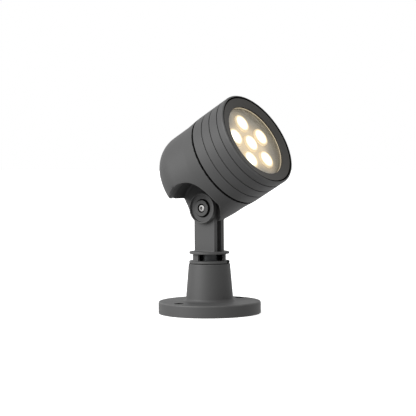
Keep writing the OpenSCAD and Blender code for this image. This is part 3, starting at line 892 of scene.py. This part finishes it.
@dataclass
class Pivot:
    """The tilt pivot's caps, screw and nut. Sizes in millimetres."""

    shop: PaintShop
    cap_r: float = 14.8
    cap_h: float = 4.8
    rim: float = 1.4
    hub_r: float = 7.8
    groove: float = 2.3
    ring_shade: float = 1.3
    screw_r: float = 2.0
    seat_r: float = 4.3
    seat_depth: float = 3.0
    head_r: float = 3.5
    head_h: float = 2.6
    socket_flats: float = 3.0
    nut_flats: float = 7.0
    nut_h: float = 3.2
    nut_seat_depth: float = 3.6
    nut_play: float = 0.3
    nut_chamfer: float = 0.25
    cap_round: float = 0.55
    ring_round: float = 0.5
    small_round: float = 0.3
    bore_play: float = 0.15
    tip_gap: float = 0.4
    head_round: float = 0.8
    socket_depth: float = 1.6
    fork_half: float = 8.0

    def build(self) -> None:
        """Builds both caps, the screw and the nut."""
        centre = middle("pivot_bush")
        for side, name in ((-1, "pivot_cap_near"), (1, "pivot_cap_far")):
            place = along_y(centre, side) @ Matrix.Translation((0, 0, self.fork_half * MM))
            cap = to_object(placed(self.cap(), place), name + "_turned")
            if side > 0:
                across = (self.nut_flats + self.nut_play) / math.sqrt(3)
                carved(cap, placed(prism(6, across, self.cap_h - self.nut_seat_depth, self.cap_h + 1), place))
            finish_piece(cap, Body.ARM, self.shop.some(Paint.COAT, Paint.PAINTED_SHADE), [name])
        self.build_screw(centre)
        self.build_nut(centre)

    def cap(self) -> bmesh.types.BMesh:
        """Makes a cap with its ring groove, drawn outwards from the fork's face.

        Returns:
            The cap.
        """
        top, inner = self.cap_h, self.cap_r - self.rim
        floor, seat = top - self.groove, top - self.seat_depth
        bore = self.screw_r + self.bore_play
        profile = [
            (bore, 0.0), (self.cap_r, 0.0), (self.cap_r, top), (inner, top), (inner, floor),
            (self.hub_r + self.ring_shade, floor), (self.hub_r, floor), (self.hub_r, top),
            (self.seat_r, top), (self.seat_r, seat), (bore, seat),
        ]
        corners = [
            Corner(self.cap_r, top, self.cap_round), Corner(self.cap_r, 0.0, self.small_round),
            Corner(inner, top, self.small_round), Corner(inner, floor, self.ring_round),
            Corner(self.hub_r, floor, self.ring_round), Corner(self.hub_r, top, self.ring_round),
            Corner(self.seat_r, top, self.small_round),
        ]

        def finish_at(radius: float, height: float) -> bool:
            """Tells whether a face gets painted shade: the ring round the hub or the screw's seat."""
            by_hub = self.hub_r - 0.3 < radius < self.hub_r + self.ring_shade and height < top - 0.35
            return by_hub or (radius < self.seat_r + 0.2 and height < top - 0.2)

        return shaded(turned(profile, corners, steps=96), finish_at)

    def build_screw(self, centre: Vector) -> None:
        """Builds the socket head screw.

        Args:
            centre: The middle of the tilt axis.
        """
        face = self.fork_half + self.cap_h
        seat = face - self.seat_depth
        top = seat + self.head_h
        tip = -face + self.tip_gap
        profile = [
            (0.0, tip), (self.screw_r, tip), (self.screw_r, seat), (self.head_r, seat), (self.head_r, top), (0.0, top),
        ]
        corners = [Corner(self.head_r, top, self.head_round), Corner(self.screw_r, tip, self.small_round)]
        place = along_y(centre, -1)
        screw = to_object(placed(turned(profile, corners, steps=64, closed=False), place), "pivot_screw_turned")
        carved(screw, placed(prism(6, self.socket_flats / math.sqrt(3), top - self.socket_depth, top + 1), place))
        finish_piece(screw, Body.ARM, self.shop.some(Paint.STAINLESS), ["pivot_screw"])

    def build_nut(self, centre: Vector) -> None:
        """Builds the nut in the far cap.

        Args:
            centre: The middle of the tilt axis.
        """
        seat = self.fork_half + self.cap_h - self.nut_seat_depth
        place = along_y(centre, 1)
        body = prism(6, self.nut_flats / math.sqrt(3), seat, seat + self.nut_h, self.nut_chamfer)
        nut = to_object(placed(body, place), "pivot_nut_cut")
        carved(nut, placed(prism(48, self.screw_r, seat - 1, seat + self.nut_h + 1), place))
        finish_piece(nut, Body.ARM, self.shop.some(Paint.STAINLESS), ["pivot_nut"])


# ---- Head ------------------------


@dataclass
class Shell:
    """The head's castings, bezel and glass. Sizes in millimetres, stations ahead of the tilt axis."""

    shop: PaintShop
    line: LampLine
    front: float = 83.1
    barrel_r: float = 48.0
    barrel_len: float = 39.2
    groove_first: float = 7.5
    groove_pitch: float = 10.15
    groove_w: float = 1.1
    groove_depth: float = 0.9
    groove_round: float = 0.25
    lip_round: float = 1.7
    rear_round: float = 0.3
    window_round: float = 0.35
    glass_round: float = 0.5
    bezel_seat_r: float = 46.2
    bezel_r: float = 45.85
    window_r: float = 36.4
    bezel_edge_depth: float = 0.55
    bezel_groove_r: float = 44.9
    bezel_groove_depth: float = 2.0
    lit_edge_h: float = 0.7
    bezel_window_depth: float = 2.3
    bezel_back_depth: float = 4.8
    glass_r: float = 42.0
    glass_h: float = 4.0
    glass_seat_r: float = 42.15
    gasket_h: float = 0.8
    shoulder_r: float = 39.5
    shoulder_h: float = 2.0
    bore_r: float = 44.5
    seam_reach: float = 2.6
    seam_skin: float = 0.35
    seam_shade: float = 2.0
    voxel: float = 0.65
    passes: int = 1
    rim_passes: int = 120
    rim_inner: float = 22.0
    rim_outer: float = 44.0
    rim_side: float = 17.0
    fade_side: float = 6.0
    fade_first: float = 14.0
    fade_last: float = 6.0
    rim_turns: tuple[float, float] = (78.0, 128.0)
    rear_turn: float = 172.0
    rear_soft: float = 0.8

    def build(self) -> None:
        """Builds the rear housing, the barrel, the bezel and the glass."""
        rear = cast_copy("rear_housing", "rear_housing_cast", self.voxel, self.passes)
        softened(rear, self.pocket_rim, self.rim_passes)
        seam = self.front - self.barrel_len
        # painted shade: faces inside the seam, and a band of the housing just behind it, take the near-black second
        # finish
        for face in rear.data.polygons:
            station, radius = self.line.measure(face.center)
            inside = station > seam - self.seam_reach and radius < self.barrel_r - self.seam_skin
            face.material_index = 1 if inside or station > seam - self.seam_shade else 0
        shades = self.shop.some(Paint.COAT, Paint.PAINTED_SHADE)
        finish_piece(rear, Body.HEAD, shades, ["rear_housing"], sharp=75.0)
        place = self.line.place(self.front)
        barrel = to_object(placed(self.barrel(), place), "front_barrel_turned")
        finish_piece(barrel, Body.HEAD, shades, ["front_barrel"])
        bezel = to_object(placed(self.bezel(), place), "bezel_ring_turned")
        rims = self.shop.some(Paint.BEZEL, Paint.PAINTED_SHADE, Paint.LIT_EDGE)
        finish_piece(bezel, Body.HEAD, rims, ["bezel_ring"])
        glass = to_object(placed(self.glass(), place), "front_glass_ground")
        finish_piece(glass, Body.HEAD, self.shop.some(Paint.GLASS, Paint.GLASS_EDGE_GLOW), ["front_glass"])

    def pocket_rim(self, point: Vector) -> float:
        """Tells how soft the housing is at a point: only the pocket's upper and rear rim is.

        Args:
            point: The point, in metres.

        Returns:
            The weight, from 0 to 1.
        """
        arm = (point - self.line.pivot) / MM
        ahead, up = arm.dot(self.line.forward), arm.dot(self.line.rise)
        reach, turn = math.hypot(ahead, up), math.degrees(math.atan2(up, ahead))
        side = min(1.0, max(0.0, (abs(arm.y) - self.rim_side) / self.fade_side))
        first, last = self.rim_turns
        start = (turn - first) / self.fade_first
        fade = min(1.0, max(0.0, start), max(0.0, (last - turn) / self.fade_last))
        if first < turn < self.rear_turn:
            fade = max(fade, self.rear_soft * min(1.0, start))
        return side * fade if self.rim_inner < reach < self.rim_outer else 0.0

    def barrel(self) -> bmesh.types.BMesh:
        """Makes the barrel with its grooves, drawn backwards from the lip.

        Returns:
            The barrel.
        """
        outer = self.barrel_r
        profile = [(self.bezel_seat_r, 0.0), (outer, 0.0)]
        corners = [Corner(outer, 0.0, self.lip_round)]
        for index in range(3):
            near = -(self.groove_first + self.groove_pitch * index - self.groove_w / 2)
            deep = outer - self.groove_depth
            profile += [(outer, near), (deep, near), (deep, near - self.groove_w), (outer, near - self.groove_w)]
            corners += [Corner(outer, near, self.groove_round), Corner(outer, near - self.groove_w, self.groove_round)]
        back = self.bezel_back_depth
        shelf = back + self.glass_h + self.gasket_h
        profile += [
            (outer, -self.barrel_len), (self.bore_r, -self.barrel_len), (self.bore_r, -shelf - self.shoulder_h),
            (self.shoulder_r, -shelf - self.shoulder_h), (self.shoulder_r, -shelf), (self.glass_seat_r, -shelf),
            (self.glass_seat_r, -back), (self.bezel_seat_r, -back),
        ]
        corners.append(Corner(outer, -self.barrel_len, self.rear_round))

        def finish_at(radius: float, height: float) -> bool:
            """Tells whether a face gets painted shade: inside the lip or at the seam."""
            return (radius < self.bezel_seat_r + 0.1 and height < -0.3) or height < -self.barrel_len + 0.15

        return shaded(turned(profile, corners, steps=192), finish_at)

    def bezel(self) -> bmesh.types.BMesh:
        """Makes the dished bezel, drawn backwards from the lip.

        Returns:
            The bezel.
        """
        back, lit = -self.bezel_back_depth, self.lit_edge_h - self.bezel_back_depth
        profile = [
            (self.window_r, back), (self.bezel_r, back), (self.bezel_r, -self.bezel_groove_depth),
            (self.bezel_groove_r, -self.bezel_groove_depth), (self.bezel_groove_r, -self.bezel_edge_depth),
            (self.window_r, -self.bezel_window_depth), (self.window_r, lit),
        ]
        corners = [
            Corner(self.bezel_groove_r, -self.bezel_edge_depth, self.groove_round),
            Corner(self.window_r, -self.bezel_window_depth, self.window_round),
        ]

        def finish_at(radius: float, height: float) -> int:
            """Gives 1 for painted shade in the groove beside the lip, 2 for a painted glow of lamp light at the foot
            of the window's wall and 0 elsewhere.
            """
            if radius > self.bezel_groove_r - 0.1:
                return 1
            return 2 if height < lit and radius < self.window_r + 0.1 else 0

        return shaded(turned(profile, corners, steps=192), finish_at)

    def glass(self) -> bmesh.types.BMesh:
        """Makes the glass, whose edge carries a painted glow of lamp light, drawn backwards from the lip.

        Returns:
            The glass.
        """
        front = -self.bezel_back_depth
        back = front - self.glass_h
        profile = [(0.0, front), (self.glass_r, front), (self.glass_r, back), (0.0, back)]
        corners = [Corner(self.glass_r, height, self.glass_round) for height in (front, back)]
        mesh = turned(profile, corners, steps=128, closed=False)
        # faces at the glass's rim take the painted glow
        return shaded(mesh, lambda radius, height: radius > self.glass_r - 0.6)


@dataclass
class LightEngine:
    """The lenses and what holds them. Sizes in millimetres, depths behind the lip."""

    shop: PaintShop
    line: LampLine
    front: float = 83.1
    ring_lenses: int = 5
    circle_r: float = 21.8
    lens_r: float = 9.2
    rim_front_depth: float = 9.9
    rim_h: float = 1.8
    body_len: float = 10.8
    tail_r: float = 4.6
    holder_depth: float = 11.7
    holder_h: float = 2.0
    holder_r: float = 44.35
    hole_r: float = 8.4
    trim_r: float = 39.4
    trim_wall: float = 0.35
    trim_front: float = 8.95
    glow_reach: float = 6.5
    glow_gain: float = 0.62
    glow_lean: float = 0.35
    core_aside: float = 0.8

    def build(self) -> None:
        """Builds the holder, its trim and the lenses."""
        self.build_holder()
        self.build_trim()
        for index in range(self.ring_lenses + 1):
            self.build_lens(index, self.lens_place(index, self.rim_front_depth))

    def lens_place(self, index: int, depth: float) -> Matrix:
        """Gives the place of a lens.

        Args:
            index: The lens's number, 0 for the middle one.
            depth: Depth behind the lip, in millimetres.

        Returns:
            The place, whose Z is the lens's axis.
        """
        return self.line.place(self.front - depth, 360 / self.ring_lenses * index, self.circle_r if index else 0.0)

    def build_holder(self) -> None:
        """Builds the holder plate, finely meshed so that its painted glow of lamp light fades away from the lenses."""
        rings = [self.holder_r * step / 40 for step in range(41)]
        back = -self.holder_h
        profile = [(radius, 0.0) for radius in rings] + [(self.holder_r, back), (0.0, back)]
        plate = placed(turned(profile, steps=144, closed=False), self.line.place(self.front - self.holder_depth))
        holder = to_object(plate, "lens_holder_moulded")
        axes = [self.lens_place(index, self.holder_depth) for index in range(self.ring_lenses + 1)]
        for axis in axes:
            carved(holder, placed(prism(48, self.hole_r, back - 1, 1.0), axis))
        centres = [axis.translation for axis in axes]
        glow = holder.data.attributes.new("radial", "FLOAT", "POINT")
        for vertex, value in zip(holder.data.vertices, glow.data):
            # the radial value sets the painted glow, strongest by each lens
            gaps = [max(0.0, (vertex.co - centre).length / MM - self.lens_r) for centre in centres]
            arm = (vertex.co - centres[0]) / (self.holder_r * MM)
            # the painted glow is stronger towards -Y and against the lamp's rise
            lean = 1.0 - self.glow_lean * (0.8 * arm.y + 0.6 * arm.dot(self.line.rise))
            glow_here = sum(math.exp(-((gap / self.glow_reach) ** 2)) for gap in gaps)
            value.value = min(1.0, glow_here * self.glow_gain * lean)
        finish_piece(holder, Body.HEAD, self.shop.some(Paint.HOLDER_GLOW), ["lens_holder"])

    def build_trim(self) -> None:
        """Builds the pale liner between the glass and the holder, which carries a painted glow of lamp light."""
        inner = self.trim_r - self.trim_wall
        front, back = -self.trim_front, -self.holder_depth
        profile = [(inner, front), (self.trim_r, front), (self.trim_r, back), (inner, back)]
        mesh = turned(profile, [Corner(inner, front, 0.1)], steps=128)
        trim = to_object(placed(mesh, self.line.place(self.front)), "window_liner_painted_glow")
        finish_piece(trim, Body.HEAD, self.shop.some(Paint.GLASS_EDGE_GLOW))

    def build_lens(self, index: int, place: Matrix) -> None:
        """Builds one lens.

        Args:
            index: The lens's number, 0 for the middle one.
            place: Its place, with the rim's front face at zero.
        """
        rim, tail = -self.rim_h, -self.rim_h - self.body_len
        socket_r, socket_top = self.tail_r - 1.4, tail + 3.5
        profile = [
            (0.0, 0.25), (self.lens_r - 2.0, 0.2), (self.lens_r - 0.5, 0.0), (self.lens_r, -0.3), (self.lens_r, rim),
            (self.lens_r - 1.0, rim), (self.tail_r, tail), (socket_r, tail), (socket_r, socket_top), (0.0, socket_top),
        ]
        # the front face takes the face's painted glow and the sides the side's painted glow
        mesh = shaded(turned(profile, steps=64, closed=False), lambda radius, height: height <= -0.2)
        lens = to_object(placed(mesh, place), f"led_lens_{index + 1}_moulded")
        # the radial value places the painted glow's white core, shifted aside of the lens's axis
        radial_attribute(lens, place, self.lens_r, self.core_aside)
        finishes = self.shop.some(Paint.LENS_FACE_GLOW, Paint.LENS_SIDE_GLOW)
        finish_piece(lens, Body.HEAD, finishes, [f"led_lens_{index + 1}"])


# ---- What stays as it is in the frame ------------------------


KEPT_NODES: dict[Paint, tuple[str, ...]] = {
    Paint.RUBBER: ("base_seal", "brake_pad", "seam_gasket", "glass_gasket", "gland_seal"),
    Paint.NYLON: ("bearing_ring", "gland_body", "gland_cap"),
    Paint.BLACKENED: ("swivel_stem",),
    Paint.ZINC: ("stem_washer", "stem_nut", "friction_washer_near", "friction_washer_far", "gland_locknut"),
    Paint.BRONZE: ("pivot_bush",),
    Paint.BOARD: ("circuit_board",),
    Paint.STAINLESS: ("board_screw_1", "board_screw_2", "board_screw_3"),
    Paint.SPREADER: ("heat_spreader",),
    Paint.DRIVER: ("driver_case",),
    Paint.LEAD_BROWN: ("lead_live",),
    Paint.LEAD_BLUE: ("lead_neutral",),
    Paint.EMITTER: tuple(f"led_chip_{number}" for number in range(1, 7)),
}


def dress_kept_nodes(shop: PaintShop) -> None:
    """Gives each CAD node that stays its finish.

    Args:
        shop: Where the finishes come from.
    """
    for paint, names in KEPT_NODES.items():
        for name in names:
            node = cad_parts[name]
            node.data.materials.clear()
            node.data.materials.append(shop.get(paint))
            LOG.info("%s: kept", name)


# ---- Studio ------------------------


@dataclass
class Studio:
    """The floor, the lights and the camera."""

    azimuth: float = 36.31
    elevation: float = 1.77
    distance: float = 1.34
    look_at: tuple[float, float, float] = (-0.0008, -0.0006, 0.1025)
    orbit_z: float = 0.11
    roll: float = -0.39
    lens: float = 119.0
    floor_half: float = 12.0
    floor_glow: float = 0.75
    ambient: float = 0.42
    sun_energy: float = 3.2
    sun_angle: float = 50.0
    sun_azimuth: float = -24.0
    sun_elevation: float = 27.0
    sheen: float = 0.45

    def build(self) -> None:
        """Builds the whole studio."""
        self.build_floor()
        self.build_world()
        self.build_lights()
        self.build_camera()

    def build_floor(self) -> None:
        """Builds the plain pale floor."""
        mesh = bmesh.new()
        bmesh.ops.create_grid(mesh, x_segments=1, y_segments=1, size=self.floor_half)
        floor = to_object(mesh, "studio_floor")
        material, _, shader = blank_material("studio_paper")
        shader.inputs["Base Color"].default_value = (0.93, 0.93, 0.93, 1.0)
        shader.inputs["Roughness"].default_value = 0.9
        shader.inputs["Specular IOR Level"].default_value = 0.1
        shader.inputs["Emission Color"].default_value = (1.0, 1.0, 1.0, 1.0)
        shader.inputs["Emission Strength"].default_value = self.floor_glow
        floor.data.materials.append(material)
        floor.visible_diffuse = False
        floor.visible_glossy = False

    def build_world(self) -> None:
        """Builds the pale surroundings."""
        world = bpy.data.worlds.new("studio_world")
        bpy.context.scene.world = world
        world.use_nodes = True
        background = world.node_tree.nodes["Background"]
        background.inputs["Color"].default_value = (1.0, 1.0, 1.0, 1.0)
        path = world.node_tree.nodes.new("ShaderNodeLightPath")
        glossy = math_node(world.node_tree, "MULTIPLY", path.outputs["Is Glossy Ray"], self.sheen)
        lit = math_node(world.node_tree, "ADD", glossy, self.ambient)
        strength = math_node(world.node_tree, "MAXIMUM", path.outputs["Is Camera Ray"], lit)
        world.node_tree.links.new(strength, background.inputs["Strength"])

    def build_lights(self) -> None:
        """Builds the soft light."""
        sun = bpy.data.lights.new("soft_sun", "SUN")
        sun.energy = self.sun_energy
        sun.angle = math.radians(self.sun_angle)
        self.place_light(sun, self.sun_azimuth, self.sun_elevation, distance=2.0)

    def place_light(self, light: bpy.types.Light, azimuth: float, elevation: float, distance: float) -> None:
        """Places a light on a sphere round the lamp, aimed at its middle.

        Args:
            light: The light.
            azimuth: Direction round Z, in degrees, 0 being -Y and 90 being +X.
            elevation: Height above the horizon, in degrees.
            distance: Distance from the middle, in metres.
        """
        thing = bpy.data.objects.new(light.name, light)
        bpy.context.scene.collection.objects.link(thing)
        away = direction(azimuth, elevation)
        thing.location = Vector((0, 0, self.orbit_z)) + away * distance
        thing.rotation_euler = (-away).to_track_quat("-Z", "Y").to_euler()

    def build_camera(self) -> None:
        """Builds the camera at eye level."""
        camera = bpy.data.cameras.new("camera")
        camera.lens = self.lens
        camera.sensor_width = 36.0
        camera.clip_start = 0.05
        camera.clip_end = 60.0
        camera.dof.use_dof = False
        thing = bpy.data.objects.new("camera", camera)
        bpy.context.scene.collection.objects.link(thing)
        spot = Vector((0, 0, self.orbit_z)) + direction(self.azimuth, self.elevation) * self.distance
        aim = (Vector(self.look_at) - spot).to_track_quat("-Z", "Y")
        turn = Matrix.Rotation(math.radians(self.roll), 4, "Z")
        thing.matrix_world = Matrix.Translation(spot) @ aim.to_matrix().to_4x4() @ turn
        bpy.context.scene.camera = thing
        bpy.context.scene.view_settings.view_transform = "Standard"


def direction(azimuth: float, elevation: float) -> Vector:
    """Gives a direction away from the lamp.

    Args:
        azimuth: Direction round Z, in degrees, 0 being -Y and 90 being +X.
        elevation: Height above the horizon, in degrees.

    Returns:
        The unit vector.
    """
    turn, rise = math.radians(azimuth), math.radians(elevation)
    return Vector((math.sin(turn) * math.cos(rise), -math.cos(turn) * math.cos(rise), math.sin(rise)))


def main() -> None:
    """Builds the studio and every piece of the lamp."""
    logging.basicConfig(level=logging.INFO, format="%(name)s: %(message)s")
    Studio().build()
    shop = PaintShop()
    line = LampLine.read()
    for assembly in (Base(shop), Fork(shop), Pivot(shop), Shell(shop, line), LightEngine(shop, line)):
        assembly.build()
    dress_kept_nodes(shop)


if __name__ == "__main__":
    main()
